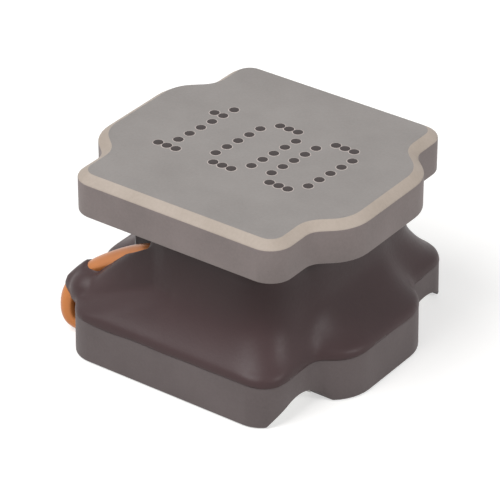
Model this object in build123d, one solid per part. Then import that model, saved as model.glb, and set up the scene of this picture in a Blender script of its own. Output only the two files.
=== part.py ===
# Square semi-shielded power inductor for surface mounting: a ferrite drum core wound with enamelled
# copper wire, magnetic resin round the winding, and two soldered terminals under the lower flange.
# Millimetres, +Z up. The origin is the middle of the seating plane, and X runs along the wire grooves.
from build123d import *
import os
from math import acos, atan2, cos, pi, radians, sin, sqrt, tan

# Whole body
body_height = 3.8
plating = 0.02

# Lower flange: straight sides along X, tabs at the corners and a bulge between them at each end
lower_length = 6.0
lower_width = 6.0
lower_thickness = 0.98
lower_tab_reach = 2.384
lower_tab_half = 1.56
lower_bulge_half = 1.167
lower_corner_radius = 0.6
lower_notch_radius = 0.3
lower_bulge_radius = 0.9

# Upper flange
upper_length = 5.92
upper_width = 5.49
upper_thickness = 0.82
upper_tab_reach = 2.35
upper_tab_half = 1.69
upper_bulge_half = 1.16
upper_corner_radius = 0.47
upper_notch_radius = 0.385
upper_bulge_radius = 0.9
chamfer_across = 0.2
chamfer_down = 0.134

# Post and winding
post_radius = 1.48
wire_diameter = 0.34
wire_sides = 10
turns_full = 4
corners_per_turn = 8
corner_roundness = 0.9
winding_clearance = 0.015
winding_end_gap = 0.035

# Grooves and terminals under the lower flange
groove_offset = 2.1
groove_depth = 0.38
groove_width = 1.45
wire_in_groove_clearance = 0.025
wire_end_reach = 1.0
terminal_inner_edge = 1.2
terminal_margin = 0.12
solder_setback = 0.25
solder_overlap = 0.3
solder_recess = 0.01

# Resin: the wall under the upper flange, and the height and roundness of its foot
wall_reach = 2.1
wall_half = 2.45
wall_bulge = 0.08
wall_right_radius = 0.8
wall_left_radius = 1.9
wall_right_tab_half = 1.3
wall_left_tab_half = 0.38
wall_step = 0.3
foot_height = 0.78
foot_power = 1.2
foot_steps = (0.0, 0.3, 0.6, 0.82, 0.94, 1.0)

# Route of the visible lead from the coil over the flange's edge into its groove: the point where it
# reaches the resin's surface, then the corners of its bends
surface_point = (-0.75, -2.21, 2.4)
lead_corners = (
    (-1.3, -2.09, 2.12),
    (-2.05, -2.0, 1.63),
    (-2.5, -1.99, 1.26),
    (-2.81, -2.2, 0.88),
    (-2.81, -2.28, 0.36),
)
first_run = 0.3
bend_share = 0.45
low_lead_rise = 0.02
groove_entry = (-2.62, -2.2)
groove_run_start = -2.2

# Resin that covers the lead where it goes over the flange's edge
cover_thickness = 0.06
cover_centre = (-2.6, -2.03, 1.1)
cover_radius = 0.4
mound_centre = (-2.32, -2.15, 0.98)
mound_radius = 0.44

# Bank of resin along the visible lead: it leaves the wall above the lead and falls to the flange's edge
# under it, so that the lead comes out of it little by little
bank_start = (-0.6, -2.1, 2.94)
bank_start_width = 0.52
bank_end = (-2.36, -1.99, 1.19)
bank_end_width = 0.56
bank_foot_width = 1.5
bank_rounding = 0.12

# Places that follow from the sizes
wire_radius = wire_diameter / 2
core_bottom = plating
lower_top = core_bottom + lower_thickness
upper_bottom = body_height - upper_thickness
coil_radius = post_radius + winding_clearance + wire_radius
coil_outer = coil_radius + wire_radius + winding_clearance
coil_high = upper_bottom - winding_end_gap - wire_radius
coil_low = lower_top + winding_end_gap + wire_radius
groove_radius = (groove_width**2 / 4 + groove_depth**2) / (2 * groove_depth)
groove_centre = core_bottom + groove_depth - groove_radius
wire_in_groove = core_bottom + groove_depth - plating - wire_in_groove_clearance - wire_radius


def quadrants(right, left):
    """Twelve corners with their radii, from the sizes of the ends at +X and -X."""
    corners = []
    for sign_x, sign_y, order in ((1, 1, 1), (-1, 1, -1), (-1, -1, 1), (1, -1, -1)):
        end = right if sign_x > 0 else left
        x_bulge, x_tab, y_bulge, y_tab, y_side, bulge_r, notch_r, corner_r = end
        three = [(x_bulge, y_bulge, bulge_r), (x_tab, y_tab, notch_r), (x_tab, y_side, corner_r)]
        corners += [(sign_x * x, sign_y * y, r) for x, y, r in three[::order]]
    return corners


def outline_wire(corners, z):
    """Closed outline of straight runs and arcs at the height z."""
    points = [(x, y, z) for x, y, r in corners]
    radii = [r for x, y, r in corners]
    return FilletPolyline(*points, radius=radii, close=True)


def slab(corners, bottom, top):
    """Flat plate with the outline of the corners."""
    face = make_face(outline_wire(corners, bottom).edges())
    return extrude(face, amount=top - bottom, dir=(0, 0, 1))


def lower_corners():
    end = (lower_length / 2, lower_tab_reach, lower_bulge_half, lower_tab_half, lower_width / 2,
           lower_bulge_radius, lower_notch_radius, lower_corner_radius)
    return quadrants(end, end)


def upper_corners():
    end = (upper_length / 2, upper_tab_reach, upper_bulge_half, upper_tab_half, upper_width / 2,
           upper_bulge_radius, upper_notch_radius, upper_corner_radius)
    return quadrants(end, end)


def wall_corners():
    right = (wall_reach, wall_reach - wall_bulge, wall_right_tab_half - wall_step, wall_right_tab_half,
             wall_half, lower_bulge_radius, lower_notch_radius, wall_right_radius)
    left = (wall_reach, wall_reach - wall_bulge, wall_left_tab_half - wall_step, wall_left_tab_half,
            wall_half, lower_notch_radius, lower_notch_radius, wall_left_radius)
    return quadrants(right, left)


def groove_bar(radius, side, x_from, x_to):
    """Round bar along one groove."""
    place = Plane(origin=(x_from, side * groove_offset, groove_centre), z_dir=(1, 0, 0))
    return extrude(place * Circle(radius), amount=x_to - x_from)


def above(z):
    """Block that holds everything of the part above the height z."""
    return Pos(0, 0, z) * Box(2 * lower_length, 2 * lower_width, 2 * body_height,
                              align=(Align.CENTER, Align.CENTER, Align.MIN))


def make_core():
    """Ferrite drum: two flanges on a round post, one sintered piece."""
    lower = slab(lower_corners(), core_bottom, lower_top)
    for side in (-1, 1):
        lower -= groove_bar(groove_radius, side, -lower_length, lower_length)
    upper = slab(upper_corners(), upper_bottom, body_height)
    rim = upper.faces().sort_by(Axis.Z)[-1].edges()
    upper = chamfer(rim, length=chamfer_down, length2=chamfer_across)
    post = Pos(0, 0, lower_top) * Cylinder(
        post_radius, upper_bottom - lower_top, align=(Align.CENTER, Align.CENTER, Align.MIN)
    )
    return lower + post + upper


def lead_start():
    """Angle and place at which a lead leaves the coil, on a tangent that leads to the surface point."""
    x, y = surface_point[:2]
    reach = sqrt(x * x + y * y)
    angle = atan2(y, x) + acos(coil_radius / reach)
    return angle, (coil_radius * cos(angle), coil_radius * sin(angle))


def lead_route(side):
    """Points of a lead's route from the coil to its end. Side -1 has the visible lead."""
    angle, (x0, y0) = lead_start()
    coil_z = coil_high if side < 0 else coil_low
    rise = first_run * coil_sizes()[1] * -side
    points = [(x0, y0, coil_z), (x0 + first_run * sin(angle), y0 - first_run * cos(angle), coil_z + rise)]
    if side < 0:
        points.append(surface_point)
        points += lead_corners
    else:
        points.append((surface_point[0], surface_point[1], coil_low))
        points.append((lead_corners[2][0], lead_corners[2][1], coil_low + low_lead_rise))
        points += lead_corners[3:]
    points.append((groove_entry[0], groove_entry[1], wire_in_groove))
    points.append((groove_run_start, -groove_offset, wire_in_groove))
    points.append((wire_end_reach, -groove_offset, wire_in_groove))
    return [(x, y * -side, z) for x, y, z in points]


def bend_radii(route):
    """Radius of the arc at each corner of a route, as large as its two runs allow."""
    points = [Vector(*point) for point in route]
    radii = []
    for before, corner, after in zip(points, points[1:], points[2:]):
        turn = radians((corner - before).get_angle(after - corner))
        shorter = min((corner - before).length, (after - corner).length)
        radii.append(bend_share * shorter / tan(turn / 2))
    return radii


def wire_along(route, radii, radius):
    """Wire along straight runs joined by tangent arcs, with narrow flat sides that keep its facets few."""
    path = FilletPolyline(*route, radius=radii)
    section = Plane(origin=path @ 0, z_dir=path % 0) * RegularPolygon(radius, wire_sides)
    return sweep(section, path=path)


def coil_sizes():
    """Turns of the coil between the tangent points of its two leads, and the slope of its wire."""
    turns = turns_full - lead_start()[0] / pi
    return turns, (coil_high - coil_low) / (turns * 2 * pi * coil_radius)


def coil_route():
    """Corners of the coil's wire, which falls anticlockwise from the visible lead to the hidden one."""
    turns = coil_sizes()[0]
    count = round(turns * corners_per_turn)
    step = 2 * pi * turns / count
    reach = coil_radius / cos(step / 2)
    route = []
    for k in range(count):
        angle = lead_start()[0] + (k + 0.5) * step
        z = coil_high - (coil_high - coil_low) * (k + 0.5) / count
        route.append((reach * cos(angle), reach * sin(angle), z))
    return route


def make_winding():
    """One length of wire: the visible lead, a single layer of turns on the post, and the hidden lead."""
    seen, corners, hidden = lead_route(-1), coil_route(), lead_route(1)
    radii = bend_radii(seen)[::-1] + [coil_radius * corner_roundness] * len(corners) + bend_radii(hidden)
    return wire_along(seen[:0:-1] + corners + hidden[1:], radii, wire_radius)


def make_cover():
    """Skin of resin on the visible lead where it goes over the flange's edge."""
    route = lead_route(-1)
    skin = wire_along(route, bend_radii(route), wire_radius + cover_thickness)
    return skin & (Pos(*cover_centre) * Sphere(cover_radius))


def foot_section(share):
    """Outline of the resin's foot, from the lower flange's edge (0) to the wall above (1)."""
    rise = 1 - (1 - share**foot_power) ** (1 / foot_power)
    corners = [
        tuple(a + (b - a) * share for a, b in zip(edge, wall))
        for edge, wall in zip(lower_corners(), wall_corners())
    ]
    return make_face(outline_wire(corners, lower_top + foot_height * rise).edges())


def bank_section(middle, top_width, foot_width):
    """Upright trapezoid across the visible lead, with its top edge at the point middle."""
    x, y, z = middle
    height = z - lower_top
    place = Plane(origin=(x, y, lower_top), x_dir=(0, 1, 0), z_dir=(1, 0, 0))
    foot, top = foot_width / 2, top_width / 2
    return place * make_face(Polyline((-foot, 0), (foot, 0), (top, height), (-top, height), close=True))


def make_bank():
    """Ridge of resin whose start lies inside the wall."""
    start = bank_section(bank_start, bank_start_width, bank_start_width)
    end = bank_section(bank_end, bank_end_width, bank_foot_width)
    bank = loft([end, start], ruled=True)
    ridge = max(bank.faces(), key=lambda face: face.normal_at().Z)
    return fillet(ridge.edges().filter_by(Axis.Y, reverse=True), bank_rounding)


def make_resin(winding):
    """Resin from the upper flange's underside down to the lower flange's edge, with a hollow foot."""
    resin = loft([foot_section(share) for share in foot_steps])
    resin += slab(wall_corners(), lower_top + foot_height, upper_bottom)
    resin += make_bank() & slab(lower_corners(), lower_top, upper_bottom)
    mound = Pos(*mound_centre) * Sphere(mound_radius)
    resin += mound + make_cover() - slab(lower_corners(), core_bottom, lower_top)
    resin -= Pos(0, 0, lower_top) * Cylinder(
        coil_outer, upper_bottom - lower_top, align=(Align.CENTER, Align.CENTER, Align.MIN)
    )
    return resin - winding


def make_terminal(side):
    """Plated layer on the flange's underside and over the surface of one groove."""
    reach = lower_tab_reach - terminal_margin
    outer = lower_width / 2 - terminal_margin
    plan = Pos(0, side * (terminal_inner_edge + outer) / 2) * RectangleRounded(
        2 * reach, outer - terminal_inner_edge, lower_corner_radius - terminal_margin
    )
    flat = extrude(plan, amount=plating)
    lining = extrude(plan, amount=core_bottom + groove_depth + plating)
    lining &= groove_bar(groove_radius, side, -reach, reach)
    return flat + lining - groove_bar(groove_radius - plating, side, -lower_length, lower_length)


def make_solder(side, winding):
    """Solder that holds the wire's end in its groove, short of the groove's two mouths."""
    start = -(lower_tab_reach - solder_setback)
    fill = groove_bar(groove_radius - plating, side, start, wire_end_reach + solder_overlap)
    return (fill & above(solder_recess)) - winding


def main():
    winding = make_winding()
    parts = {
        "drum_core": make_core(),
        "winding": winding,
        "resin_coat": make_resin(winding),
        "terminal_start": make_terminal(-1),
        "terminal_finish": make_terminal(1),
        "solder_start": make_solder(-1, winding),
        "solder_finish": make_solder(1, winding),
    }
    os.makedirs("parts", exist_ok=True)
    for name, shape in parts.items():
        export_step(shape, f"parts/{name}.step")


main()
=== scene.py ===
import math

import bmesh
import bpy
from mathutils import Matrix, Vector, noise


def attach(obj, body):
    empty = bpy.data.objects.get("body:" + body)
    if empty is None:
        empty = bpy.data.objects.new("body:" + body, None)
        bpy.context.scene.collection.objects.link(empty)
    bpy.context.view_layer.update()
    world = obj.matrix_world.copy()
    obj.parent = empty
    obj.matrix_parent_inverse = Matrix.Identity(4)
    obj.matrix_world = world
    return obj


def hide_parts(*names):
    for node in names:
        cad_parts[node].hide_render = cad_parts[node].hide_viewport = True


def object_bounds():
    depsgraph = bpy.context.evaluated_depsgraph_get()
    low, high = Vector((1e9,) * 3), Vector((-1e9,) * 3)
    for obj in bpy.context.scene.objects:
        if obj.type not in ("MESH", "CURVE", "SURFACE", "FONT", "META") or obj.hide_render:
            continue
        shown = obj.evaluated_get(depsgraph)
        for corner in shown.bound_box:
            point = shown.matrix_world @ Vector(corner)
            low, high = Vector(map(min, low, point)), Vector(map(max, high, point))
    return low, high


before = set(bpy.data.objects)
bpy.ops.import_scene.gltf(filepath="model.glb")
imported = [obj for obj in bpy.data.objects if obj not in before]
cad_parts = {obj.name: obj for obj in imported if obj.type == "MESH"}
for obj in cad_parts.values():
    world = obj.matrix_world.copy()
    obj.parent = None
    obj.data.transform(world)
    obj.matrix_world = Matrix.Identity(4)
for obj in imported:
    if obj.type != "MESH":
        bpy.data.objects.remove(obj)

# Looks of a square power inductor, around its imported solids. Metres, in the solids' own frame
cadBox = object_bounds()
mm = 0.001
joinWithin = 0.0002 * mm     # points this near each other become one
cutWithin = 0.0001 * mm      # a point this near a cut lies on it


def fromHex(text):
    channels = [int(text[i:i + 2], 16) / 255 for i in (1, 3, 5)]
    linear = [c / 12.92 if c <= 0.04045 else ((c + 0.055) / 1.055) ** 2.4 for c in channels]
    return (*linear, 1.0)


# View: the photograph's, fitted to the body's edges

view = {
    "azimuth": 36.02,        # degrees, 0 looks along +Y
    "elevation": 31.13,
    "distance": 60.27 * mm,
    "across": -0.179 * mm,   # of the camera from the view line through the origin
    "up": 1.391 * mm,
    "focalPixels": 3162.7,
    "imagePixels": 500,
    "sensor": 36.0,
    "clip": (1 * mm, 10.0),
}


def makeCamera():
    azimuth = math.radians(view["azimuth"])
    elevation = math.radians(view["elevation"])
    back = Vector((math.sin(azimuth) * math.cos(elevation),
                   -math.cos(azimuth) * math.cos(elevation), math.sin(elevation)))
    right = Vector((math.cos(azimuth), math.sin(azimuth), 0))
    up = back.cross(right)
    data = bpy.data.cameras.new("camera")
    data.sensor_width = view["sensor"]
    data.lens = view["focalPixels"] * view["sensor"] / view["imagePixels"]
    data.clip_start, data.clip_end = view["clip"]
    camera = bpy.data.objects.new("camera", data)
    camera.location = back * view["distance"] + right * view["across"] + up * view["up"]
    camera.rotation_euler = (-back).to_track_quat("-Z", "Y").to_euler()
    bpy.context.scene.collection.objects.link(camera)
    bpy.context.scene.camera = camera


makeCamera()
print("camera placed")


def emptyTree(owner):
    # Node tree of a material or world, with nothing in it
    owner.use_nodes = True
    owner.node_tree.nodes.clear()
    return owner.node_tree


def addNode(tree, kind, inputs=None, **settings):
    # An input takes a value, or a link where it is given a socket
    node = tree.nodes.new(kind)
    for name, value in settings.items():
        setattr(node, name, value)
    for name, value in (inputs or {}).items():
        socket = node.inputs[name]
        if isinstance(value, bpy.types.NodeSocket):
            tree.links.new(value, socket)
        else:
            socket.default_value = value
    return node


# Studio: pale floor, soft lamps, white behind

studio = {
    "floorColour": "#d2d1cf",
    "floorGlow": 0.55,           # lifts the lit paper to white for the camera and in reflections
    "floorHalf": 400 * mm,
    "lamps": {                   # place, size and watts
        "keyLamp": ((-30 * mm, -72 * mm, 122 * mm), 90 * mm, 0.16),
        "sideLamp": ((110 * mm, 12 * mm, 68 * mm), 26 * mm, 0.043),
    },
    "worldStrength": 0.28,
}


def addLamp(name, place, size, watts):
    # Square soft box that faces the object
    data = bpy.data.lights.new(name, "AREA")
    data.shape = "SQUARE"
    data.size = size
    data.energy = watts
    lamp = bpy.data.objects.new(name, data)
    lamp.location = place
    lamp.rotation_euler = lamp.location.to_track_quat("Z", "Y").to_euler()
    bpy.context.scene.collection.objects.link(lamp)


def seenRays(tree):
    # 1 for the camera and for what mirrors and glass show, 0 for the light on the object
    rays = addNode(tree, "ShaderNodeLightPath").outputs
    seen = addNode(tree, "ShaderNodeMath", {0: rays["Is Camera Ray"], 1: rays["Is Glossy Ray"]},
                   operation="MAXIMUM")
    return addNode(tree, "ShaderNodeMath", {0: seen.outputs[0], 1: rays["Is Transmission Ray"]},
                   operation="MAXIMUM").outputs[0]


def paperMaterial():
    # Seamless paper sweep: matt, so the object's shadow lies on it softly
    material = bpy.data.materials.new("paperSweep")
    tree = emptyTree(material)
    paper = addNode(tree, "ShaderNodeBsdfDiffuse", {"Color": fromHex(studio["floorColour"])})
    strength = addNode(tree, "ShaderNodeMath", {0: seenRays(tree), 1: studio["floorGlow"]},
                       operation="MULTIPLY")
    glow = addNode(tree, "ShaderNodeEmission", {"Strength": strength.outputs[0]})
    both = addNode(tree, "ShaderNodeAddShader", {0: paper.outputs[0], 1: glow.outputs[0]})
    addNode(tree, "ShaderNodeOutputMaterial", {"Surface": both.outputs[0]})
    return material


def makeFloor():
    mesh = bmesh.new()
    bmesh.ops.create_grid(mesh, x_segments=1, y_segments=1, size=studio["floorHalf"])
    data = bpy.data.meshes.new("floor")
    mesh.to_mesh(data)
    mesh.free()
    data.materials.append(paperMaterial())
    floor = bpy.data.objects.new("floor", data)
    bpy.context.scene.collection.objects.link(floor)


def makeWorld():
    world = bpy.data.worlds.new("studioWorld")
    tree = emptyTree(world)
    strength = addNode(tree, "ShaderNodeMapRange",
                       {"Value": seenRays(tree), "To Min": studio["worldStrength"], "To Max": 1.0})
    white = addNode(tree, "ShaderNodeBackground",
                    {"Color": (1, 1, 1, 1), "Strength": strength.outputs[0]})
    addNode(tree, "ShaderNodeOutputWorld", {"Surface": white.outputs[0]})
    bpy.context.scene.world = world


def makeStudio():
    bpy.context.scene.view_settings.view_transform = "Standard"
    for name, settings in studio["lamps"].items():
        addLamp(name, *settings)
    makeWorld()
    makeFloor()


makeStudio()
print("studio made")


def nodeCopy(name):
    # A CAD node's mesh is loose triangles, so a copy of it is joined before it is worked on
    mesh = bmesh.new()
    mesh.from_mesh(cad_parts[name].data)
    bmesh.ops.remove_doubles(mesh, verts=mesh.verts, dist=joinWithin)
    return mesh


def asPiece(mesh, name, materials, nodes=()):
    data = bpy.data.meshes.new(name)
    mesh.to_mesh(data)
    mesh.free()
    for material in materials:
        data.materials.append(material)
    for polygon in data.polygons:
        polygon.use_smooth = True
    piece = bpy.data.objects.new(name, data)
    bpy.context.scene.collection.objects.link(piece)
    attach(piece, "root")
    if nodes:
        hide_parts(*nodes)
    return piece


def applyModifiers(piece):
    graph = bpy.context.evaluated_depsgraph_get()
    data = bpy.data.meshes.new_from_object(piece.evaluated_get(graph))
    piece.modifiers.clear()
    piece.data = data


def cutLevel(mesh, height, keepBelow):
    # Keeps what lies on one side of a height, and closes the cut
    bmesh.ops.bisect_plane(mesh, geom=[*mesh.verts, *mesh.edges, *mesh.faces], dist=cutWithin,
                           plane_co=(0, 0, height), plane_no=(0, 0, 1),
                           clear_outer=keepBelow, clear_inner=not keepBelow)
    bmesh.ops.holes_fill(mesh, edges=[e for e in mesh.edges if e.is_boundary], sides=0)


# Noise Texture settings that the materials share: soft patches, and a fine grain
patchNoise = {"Detail": 3.0, "Roughness": 0.55}
grainNoise = {"Detail": 2.0, "Roughness": 0.55}


# Drum core: nickel-zinc ferrite, pressed and sintered, its faces ground

core = {
    "flatWithin": 0.6,           # degrees, facets this level with each other become one face
    "edgeSoftening": 0.022 * mm,
    "edgeSegments": 3,
    "edgeAngle": 24,             # degrees between faces that get a softened edge
    "markThickness": 0.004 * mm,  # the core's top lies this much lower than the box's, for the mark
    "rim": (0.5 * mm, 1.1 * mm),  # heights between which only the lower flange's upper edge lies
    "draft": 0.004,              # share by which that edge is drawn in, under the resin's film
    "sink": 0.09 * mm,           # and how much lower it lies, under the resin
    "groundDepth": 0.16 * mm,    # top and chamfer lie within this depth
    "chamferRise": 0.3,          # upward part of a normal, above which a face is the chamfer's
    "topRise": 0.97,             # and the top's
    # painted shade: the sides are a darker copy of the top's ferrite
    "side": ("#7d7371", "#897e7c"),
    "top": ("#8b8683", "#95908d"),
    # painted highlight: the chamfer is a paler copy of the top's ferrite
    "chamferHighlight": ("#ab9e92", "#b8aba0"),
    # painted shade: the lower flange is a darker copy again
    "lowShade": ("#5c5252", "#665c5c"),
    "mottle": 1.1 * mm,
    "grain": 0.05 * mm,          # real grains are 0.01 mm, too fine to show
    "grainShare": 0.45,          # of the grain in the colour, beside the mottling
    "contrast": (0.5, 0.95),     # of their sum, from the dark colour to the light one
    "bump": 0.12,
    "bumpDepth": 0.02 * mm,
    "roughness": 0.62,
    "ior": 1.5,
}


def ferriteMaterial(name, colours):
    # Sintered ferrite: a dense grey ceramic, matt with a faint speckle and soft mottling. The top shows
    # its own grey; the sides get a darker copy of it as painted shade, the chamfer a paler copy as
    # painted highlight, and the lower flange a darker copy still as painted shade
    dark, light = (fromHex(colour) for colour in colours)
    material = bpy.data.materials.new(name)
    tree = emptyTree(material)
    place = addNode(tree, "ShaderNodeTexCoord").outputs["Object"]
    mottle = addNode(tree, "ShaderNodeTexNoise",
                     {"Vector": place, "Scale": 1 / core["mottle"], **patchNoise}).outputs["Fac"]
    grain = addNode(tree, "ShaderNodeTexNoise",
                    {"Vector": place, "Scale": 1 / core["grain"], **grainNoise}).outputs["Fac"]
    both = addNode(tree, "ShaderNodeMath", {0: grain, 1: core["grainShare"], 2: mottle},
                   operation="MULTIPLY_ADD")
    shade = addNode(tree, "ShaderNodeMapRange", {
        "Value": both.outputs[0], "From Min": core["contrast"][0], "From Max": core["contrast"][1]})
    colour = addNode(tree, "ShaderNodeMix", {"Factor": shade.outputs[0], 6: dark, 7: light},
                     data_type="RGBA")
    bump = addNode(tree, "ShaderNodeBump",
                   {"Height": grain, "Strength": core["bump"], "Distance": core["bumpDepth"]})
    shader = addNode(tree, "ShaderNodeBsdfPrincipled", {
        "Base Color": colour.outputs[2], "Roughness": core["roughness"], "IOR": core["ior"],
        "Normal": bump.outputs[0]})
    addNode(tree, "ShaderNodeOutputMaterial", {"Surface": shader.outputs[0]})
    return material


def makeCore():
    mesh = nodeCopy("drum_core")
    bmesh.ops.dissolve_limit(mesh, angle_limit=math.radians(core["flatWithin"]),
                             verts=mesh.verts, edges=mesh.edges)
    edges = [e for e in mesh.edges if len(e.link_faces) == 2
             and e.calc_face_angle() > math.radians(core["edgeAngle"])]
    bmesh.ops.bevel(mesh, geom=edges, offset=core["edgeSoftening"], offset_type="OFFSET", affect="EDGES",
                    segments=core["edgeSegments"], profile=0.5, material=-1, clamp_overlap=True)
    top = cadBox[1][2]
    low, high = core["rim"]
    for vertex in mesh.verts:
        vertex.co.z = min(vertex.co.z, top - core["markThickness"])
        if low < vertex.co.z < high:
            vertex.co.xy *= 1 - core["draft"]
            vertex.co.z -= core["sink"]
    mesh.normal_update()

    # the sides and the lower flange carry painted shade, the chamfer a painted highlight
    finishes = ("side", "top", "chamferHighlight", "lowShade")
    for face in mesh.faces:
        height = face.calc_center_median().z
        finish = "side"
        if face.normal.z > core["chamferRise"] and height > top - core["groundDepth"]:
            finish = "top" if face.normal.z > core["topRise"] else "chamferHighlight"
        elif height < high:
            finish = "lowShade"
        face.material_index = finishes.index(finish)
    names = ("sideShadeFerrite", "groundFerrite", "edgeHighlightFerrite", "lowerFlangeShadeFerrite")
    materials = [ferriteMaterial(name, core[finish]) for name, finish in zip(names, finishes)]
    piece = asPiece(mesh, "drumCore", materials, ["drum_core"])
    weighted = piece.modifiers.new("weighted", "WEIGHTED_NORMAL")
    weighted.keep_sharp = True
    applyModifiers(piece)


makeCore()
print("core made")


# Wire: enamelled copper, one length from groove to groove, on the solid's own route. Its sizes are in mm

wire = {
    "radius": 0.17,
    "rounding": 6,               # of the wire's section
    "stepsPerCorner": 8,
    "coilRadius": 1.665,
    "coilHigh": 2.775,           # heights of the coil's two ends
    "coilLow": 1.205,
    "coilStart": -64.2,          # degrees
    "turns": 4.357,
    "cornersPerTurn": 8,
    "surfacePoint": (-0.75, -2.21, 2.4),
    "leadCorners": ((-1.3, -2.09, 2.12), (-2.05, -2.0, 1.63), (-2.5, -1.99, 1.26),
                    (-2.81, -2.2, 0.88), (-2.81, -2.28, 0.36)),
    "grooveRun": ((-2.62, -2.2, 0.185), (-2.2, -2.1, 0.185), (1.0, -2.1, 0.185)),
    "lowLeadRise": 0.02,
    "copper": ("#bd733c", "#d08242"),
    "patch": 0.6,
    "scuff": 0.05,
    "bump": 0.08,
    "bumpDepth": 0.01,
    "metallic": 0.5,             # the enamel's own colour veils the metal
    "roughness": (0.3, 0.42),
    "enamel": 0.25,
    "enamelRoughness": 0.2,
}


def leadPoints(side):
    # From the coil to the wire's end; side 1 has the lead that leaves the coil low
    if side < 0:
        points = [wire["surfacePoint"], *wire["leadCorners"]]
    else:
        points = [(*wire["surfacePoint"][:2], wire["coilLow"]),
                  (*wire["leadCorners"][2][:2], wire["coilLow"] + wire["lowLeadRise"]),
                  *wire["leadCorners"][3:]]
    return [(x, -y * side, z) for x, y, z in [*points, *wire["grooveRun"]]]


def coilPoints():
    count = round(wire["turns"] * wire["cornersPerTurn"])
    step = math.radians(360 * wire["turns"] / count)
    reach = wire["coilRadius"] / math.cos(step / 2)
    points = []
    for k in range(count):
        angle = math.radians(wire["coilStart"]) + (k + 0.5) * step
        z = wire["coilHigh"] - (wire["coilHigh"] - wire["coilLow"]) * (k + 0.5) / count
        points.append((reach * math.cos(angle), reach * math.sin(angle), z))
    return points


def roundBar(points, radius, rounding):
    # Round bar on one smooth spline along the route, as a mesh. Points and radius are in mm
    curve = bpy.data.curves.new("route", "CURVE")
    curve.dimensions = "3D"
    curve.resolution_u = wire["stepsPerCorner"]
    curve.bevel_depth = radius * mm
    curve.bevel_resolution = rounding
    curve.use_fill_caps = True
    spline = curve.splines.new("NURBS")
    spline.points.add(len(points) - 1)
    for corner, point in zip(spline.points, points):
        corner.co = (*(c * mm for c in point), 1)
    spline.order_u = 3
    spline.use_endpoint_u = True
    holder = bpy.data.objects.new("route", curve)
    mesh = bmesh.new()
    mesh.from_mesh(bpy.data.meshes.new_from_object(holder))
    bpy.data.objects.remove(holder)
    bmesh.ops.remove_doubles(mesh, verts=mesh.verts, dist=joinWithin)
    bmesh.ops.recalc_face_normals(mesh, faces=mesh.faces)
    return mesh


def copperMaterial():
    # Enamelled copper wire: bright metal under a thin clear coat, which gives a warm, even sheen
    dark, light = (fromHex(colour) for colour in wire["copper"])
    material = bpy.data.materials.new("enamelledCopper")
    tree = emptyTree(material)
    place = addNode(tree, "ShaderNodeTexCoord").outputs["Object"]
    patch = addNode(tree, "ShaderNodeTexNoise",
                    {"Vector": place, "Scale": 1 / (wire["patch"] * mm), **patchNoise}).outputs["Fac"]
    scuff = addNode(tree, "ShaderNodeTexNoise",
                    {"Vector": place, "Scale": 1 / (wire["scuff"] * mm), **patchNoise}).outputs["Fac"]
    colour = addNode(tree, "ShaderNodeMix", {"Factor": patch, 6: dark, 7: light}, data_type="RGBA")
    bump = addNode(tree, "ShaderNodeBump",
                   {"Height": scuff, "Strength": wire["bump"], "Distance": wire["bumpDepth"] * mm})
    roughness = addNode(tree, "ShaderNodeMapRange", {
        "Value": scuff, "To Min": wire["roughness"][0], "To Max": wire["roughness"][1]})
    shader = addNode(tree, "ShaderNodeBsdfPrincipled", {
        "Base Color": colour.outputs[2], "Metallic": wire["metallic"], "Roughness": roughness.outputs[0],
        "Coat Weight": wire["enamel"], "Coat Roughness": wire["enamelRoughness"],
        "Normal": bump.outputs[0]})
    addNode(tree, "ShaderNodeOutputMaterial", {"Surface": shader.outputs[0]})
    return material


def makeWire():
    points = leadPoints(-1)[::-1] + coilPoints() + leadPoints(1)
    bar = roundBar(points, wire["radius"], wire["rounding"])
    asPiece(bar, "magnetWire", [copperMaterial()], ["winding"])


makeWire()
print("wire made")


# Resin: magnetic epoxy, dispensed round the coil and cured, so its surface is drawn up to the wire

resin = {
    "joinedWire": 0.14,          # mm, radius of the leads joined in, so that no gap opens beside the wire
    "joinedRounding": 3,
    "skirt": (0.7 * mm, 0.99 * mm),  # heights of the flange's slice that carries the resin's film
    "voxel": 0.045 * mm,
    "smoothing": 7,
    "foot": (1.06 * mm, 2.6 * mm),   # heights between which foot and wall run into one hollow
    "footFrom": -0.2 * mm,       # along X, clear of the lead's bank
    "footSmoothing": 110,
    "rim": (0.8 * mm, 1.12 * mm),    # heights of the rim that runs over the flange's edge
    "rimSmoothing": 10,
    "bareLine": ((-1.67 * mm, -2.05 * mm, 1.88 * mm), (-0.84 * mm, -2.14 * mm, 2.33 * mm)),
    "bareOver": (0.1 * mm, 0.14 * mm),   # height of the resin over that line of the lead, at its two ends
    "bareHalf": (0.17 * mm, 0.3 * mm),   # full and no lowering so far beside it
    "bareFrom": -0.1,            # start of the lowering, in shares of the line
    "bareEnd": (1.0, 1.35),      # full and no lowering so far along it
    "filmEdge": 0.89 * mm,       # height of the film's lower edge on the flange's sides
    "filmWave": 0.05 * mm,
    "filmWaveLength": 0.9 * mm,
    "upper": ("#2d1e1f", "#382728"),  # painted shade: the wall darker up under the top flange, the foot paler
    "lower": ("#413132", "#4c3b3c"),
    "wallShade": (1.2 * mm, 2.5 * mm),
    "cloud": 1.3 * mm,
    "filler": 0.07 * mm,         # the real filler is 0.02 mm, too fine to show
    "bump": 0.1,
    "bumpDepth": 0.02 * mm,
    "roughness": (0.36, 0.5),
    "specular": 0.24,
}


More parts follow.
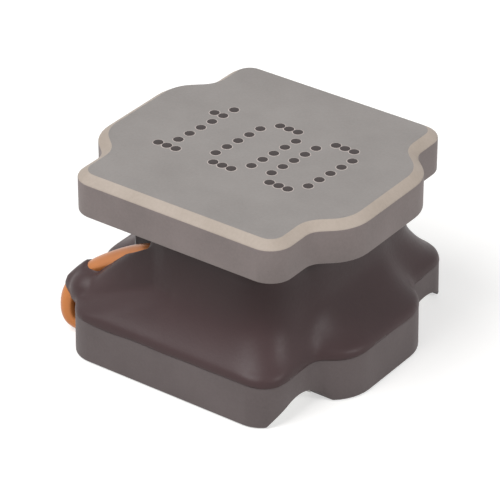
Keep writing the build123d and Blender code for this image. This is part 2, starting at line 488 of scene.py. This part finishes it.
def resinMaterial():
    # Epoxy filled with ferrite powder: nearly black brown, with the broad soft sheen of a cast surface
    material = bpy.data.materials.new("magneticEpoxy")
    tree = emptyTree(material)
    place = addNode(tree, "ShaderNodeTexCoord").outputs["Object"]
    cloud = addNode(tree, "ShaderNodeTexNoise",
                    {"Vector": place, "Scale": 1 / resin["cloud"], **patchNoise}).outputs["Fac"]
    filler = addNode(tree, "ShaderNodeTexNoise",
                     {"Vector": place, "Scale": 1 / resin["filler"], **grainNoise}).outputs["Fac"]
    upper, lower = (addNode(tree, "ShaderNodeMix", {"Factor": cloud, 6: fromHex(dark), 7: fromHex(light)},
                            data_type="RGBA") for dark, light in (resin["upper"], resin["lower"]))
    # painted shade: the colour darkens with height, up the wall under the top flange
    height = addNode(tree, "ShaderNodeSeparateXYZ", {0: place}).outputs["Z"]
    wallShade = addNode(tree, "ShaderNodeMapRange", {
        "Value": height, "From Min": resin["wallShade"][0], "From Max": resin["wallShade"][1]},
        interpolation_type="SMOOTHSTEP")
    colour = addNode(tree, "ShaderNodeMix", {
        "Factor": wallShade.outputs[0], 6: lower.outputs[2], 7: upper.outputs[2]}, data_type="RGBA")
    bump = addNode(tree, "ShaderNodeBump",
                   {"Height": filler, "Strength": resin["bump"], "Distance": resin["bumpDepth"]})
    roughness = addNode(tree, "ShaderNodeMapRange", {
        "Value": filler, "To Min": resin["roughness"][0], "To Max": resin["roughness"][1]})
    shader = addNode(tree, "ShaderNodeBsdfPrincipled", {
        "Base Color": colour.outputs[2], "Roughness": roughness.outputs[0],
        "Specular IOR Level": resin["specular"], "Normal": bump.outputs[0]})
    addNode(tree, "ShaderNodeOutputMaterial", {"Surface": shader.outputs[0]})
    return material


def joinInto(mesh, other):
    data = bpy.data.meshes.new("joined")
    other.to_mesh(data)
    other.free()
    mesh.from_mesh(data)
    bpy.data.meshes.remove(data)


def makeSkirt():
    # Slice of the lower flange, for the film of resin that has run over its upper edge
    mesh = nodeCopy("drum_core")
    low, high = resin["skirt"]
    cutLevel(mesh, high, keepBelow=True)
    cutLevel(mesh, low, keepBelow=False)
    mesh.normal_update()
    bmesh.ops.recalc_face_normals(mesh, faces=mesh.faces)
    return mesh


def castResin():
    # The solid, the skirt and the leads melted into one skin
    mesh = nodeCopy("resin_coat")
    joinInto(mesh, makeSkirt())
    for side in (-1, 1):
        joinInto(mesh, roundBar(leadPoints(side)[:-2], resin["joinedWire"], resin["joinedRounding"]))
    piece = asPiece(mesh, "resinCoat", [resinMaterial()], ["resin_coat"])
    remesh = piece.modifiers.new("remesh", "REMESH")
    remesh.mode = "VOXEL"
    remesh.voxel_size = resin["voxel"]
    remesh.use_smooth_shade = True
    smooth = piece.modifiers.new("smooth", "SMOOTH")
    smooth.iterations = resin["smoothing"]
    applyModifiers(piece)
    return piece


def smoothFlow(mesh):
    # Foot and wall run into one hollow, and the rim rounds over the flange's edge
    low, high = resin["foot"]
    foot = [v for v in mesh.verts if low < v.co.z < high and v.co.x > resin["footFrom"]]
    low, high = resin["rim"]
    rim = [v for v in mesh.verts if low < v.co.z < high]
    for chosen, rounds in ((foot, resin["footSmoothing"]), (rim, resin["rimSmoothing"])):
        for _ in range(rounds):
            bmesh.ops.smooth_vert(mesh, verts=chosen, factor=0.5,
                                  use_axis_x=True, use_axis_y=True, use_axis_z=True)


def ramp(value, full, none):
    # 1 at full, 0 at none, straight between them and level outside
    return min(max((value - none) / (full - none), 0), 1)


def bareLead(mesh):
    # Lowers the resin over the lead where it leaves the coil, so that the wire's back lies bare above it
    start, end = (Vector(point) for point in resin["bareLine"])
    overStart, overEnd = resin["bareOver"]
    for vertex in mesh.verts:
        share = (vertex.co.x - start.x) / (end.x - start.x)
        if share > resin["bareFrom"]:
            axis = start.lerp(end, share)
            hold = ramp(abs(vertex.co.y - axis.y), *resin["bareHalf"]) * ramp(share, *resin["bareEnd"])
            level = axis.z + overStart + (overEnd - overStart) * share
            vertex.co.z -= max(vertex.co.z - level, 0) * hold


def filmBend(point):
    # How much higher the film's lower edge lies at a place than on average
    return noise.noise(Vector((point.x, point.y, 0)) / resin["filmWaveLength"]) * resin["filmWave"]


def trimFilm(mesh):
    # The film's edge is cut level while the mesh is bent by the edge's own wave, then bent back
    for vertex in mesh.verts:
        vertex.co.z -= filmBend(vertex.co)
    cutLevel(mesh, resin["filmEdge"], keepBelow=False)
    for vertex in mesh.verts:
        vertex.co.z += filmBend(vertex.co)


def makeResin():
    piece = castResin()
    mesh = bmesh.new()
    mesh.from_mesh(piece.data)
    smoothFlow(mesh)
    bareLead(mesh)
    trimFilm(mesh)
    for vertex in mesh.verts:
        vertex.co = [min(max(c, low), high) for c, low, high in zip(vertex.co, *cadBox)]
    mesh.to_mesh(piece.data)
    mesh.free()


makeResin()
print("resin made")


# Terminals and solder keep their solids

metal = {
    "tin": {"colours": ("#aeada9", "#c4c3bf"), "patch": 0.5 * mm, "roughness": (0.35, 0.5), "bump": 0.1},
    "solder": {"colours": ("#9b9b99", "#b8b8b5"), "patch": 0.35 * mm, "roughness": (0.2, 0.34),
               "bump": 0.35},
    "bumpDepth": 0.03 * mm,
    "grain": 0.06 * mm,
}


def metalMaterial(name, finish):
    dark, light = (fromHex(colour) for colour in finish["colours"])
    material = bpy.data.materials.new(name)
    tree = emptyTree(material)
    place = addNode(tree, "ShaderNodeTexCoord").outputs["Object"]
    patch = addNode(tree, "ShaderNodeTexNoise",
                    {"Vector": place, "Scale": 1 / finish["patch"], **patchNoise}).outputs["Fac"]
    grain = addNode(tree, "ShaderNodeTexNoise",
                    {"Vector": place, "Scale": 1 / metal["grain"], **patchNoise}).outputs["Fac"]
    colour = addNode(tree, "ShaderNodeMix", {"Factor": patch, 6: dark, 7: light}, data_type="RGBA")
    roughness = addNode(tree, "ShaderNodeMapRange", {
        "Value": grain, "To Min": finish["roughness"][0], "To Max": finish["roughness"][1]})
    bump = addNode(tree, "ShaderNodeBump",
                   {"Height": patch, "Strength": finish["bump"], "Distance": metal["bumpDepth"]})
    shader = addNode(tree, "ShaderNodeBsdfPrincipled", {
        "Base Color": colour.outputs[2], "Metallic": 1.0, "Roughness": roughness.outputs[0],
        "Normal": bump.outputs[0]})
    addNode(tree, "ShaderNodeOutputMaterial", {"Surface": shader.outputs[0]})
    return material


def dressTerminals():
    # Matt tin, barrel plated: an even grey with slight patches
    tin = metalMaterial("tinPlating", metal["tin"])
    # Solder, melted in place: brighter, with slow ripples where it froze
    solder = metalMaterial("reflowedSolder", metal["solder"])
    for name, material in (("terminal_start", tin), ("terminal_finish", tin),
                           ("solder_start", solder), ("solder_finish", solder)):
        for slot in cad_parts[name].material_slots:
            slot.material = material


dressTerminals()
print("terminals dressed")


# Mark: plain figures in printed dots

mark = {
    "figures": "100",
    "rows": {                    # dots of each figure, from its top
        "1": ("..#..", ".##..", "..#..", "..#..", "..#..", "..#..", ".###."),
        "0": (".###.", "#...#", "#...#", "#...#", "#...#", "#...#", ".###."),
    },
    "dot": 0.196 * mm,
    "segments": 28,
    "pitchAlong": 0.2035 * mm,
    "pitchUp": 0.3055 * mm,
    "lean": 0.107,               # the figures slant by this share of their height
    "figureStep": 1.2675 * mm,
    "centre": (-0.103 * mm, 0.0235 * mm),
    "edgeDepth": 0.8,            # of a dot's edge under the box's top, in shares of the mark's thickness
    "crown": 0.7,                # its middle stands so much higher than its edge
    "haloWidth": 0.014 * mm,
    "ink": "#2f2625",
    "halo": "#c2b7b2",
    "value": (0.88, 1.12),       # of the colours, from grain to grain
    "roughness": 0.6,
}


def inkMaterial(name, colour):
    # Marking ink: a thin matt layer, so the ceramic's grain shows in it
    material = bpy.data.materials.new(name)
    tree = emptyTree(material)
    place = addNode(tree, "ShaderNodeTexCoord").outputs["Object"]
    grain = addNode(tree, "ShaderNodeTexNoise",
                    {"Vector": place, "Scale": 1 / core["grain"], **grainNoise}).outputs["Fac"]
    value = addNode(tree, "ShaderNodeMapRange",
                    {"Value": grain, "To Min": mark["value"][0], "To Max": mark["value"][1]})
    shade = addNode(tree, "ShaderNodeHueSaturation",
                    {"Color": fromHex(colour), "Value": value.outputs[0]})
    shader = addNode(tree, "ShaderNodeBsdfPrincipled",
                     {"Base Color": shade.outputs[0], "Roughness": mark["roughness"]})
    addNode(tree, "ShaderNodeOutputMaterial", {"Surface": shader.outputs[0]})
    return material


def dotPlaces():
    middleFigure = (len(mark["figures"]) - 1) / 2
    for place, figure in enumerate(mark["figures"]):
        rows = mark["rows"][figure]
        for row, cells in enumerate(rows):
            up = ((len(rows) - 1) / 2 - row) * mark["pitchUp"]
            for column, cell in enumerate(cells):
                along = (place - middleFigure) * mark["figureStep"] + up * mark["lean"]
                along += (column - (len(cells) - 1) / 2) * mark["pitchAlong"]
                if cell == "#":
                    yield mark["centre"][0] + along, mark["centre"][1] + up


def makeMark():
    # Each dot is a low disc of ink with a pale ring round it
    z = cadBox[1][2] - core["markThickness"] * mark["edgeDepth"]
    mesh = bmesh.new()
    for x, y in dotPlaces():
        made = bmesh.ops.create_circle(mesh, cap_ends=True, segments=mark["segments"],
                                       radius=mark["dot"] / 2 + mark["haloWidth"],
                                       matrix=Matrix.Translation((x, y, z)))
        disc = made["verts"][0].link_faces[0]
        ring = bmesh.ops.inset_region(mesh, faces=[disc], thickness=mark["haloWidth"],
                                      use_boundary=True, use_even_offset=True)
        for face in ring["faces"]:
            face.material_index = 1
        bmesh.ops.translate(mesh, verts=disc.verts, vec=(0, 0, core["markThickness"] * mark["crown"]))
    materials = [inkMaterial("printedInk", mark["ink"]), inkMaterial("printedInkEdge", mark["halo"])]
    asPiece(mesh, "printedDots", materials)


makeMark()
print("mark made")
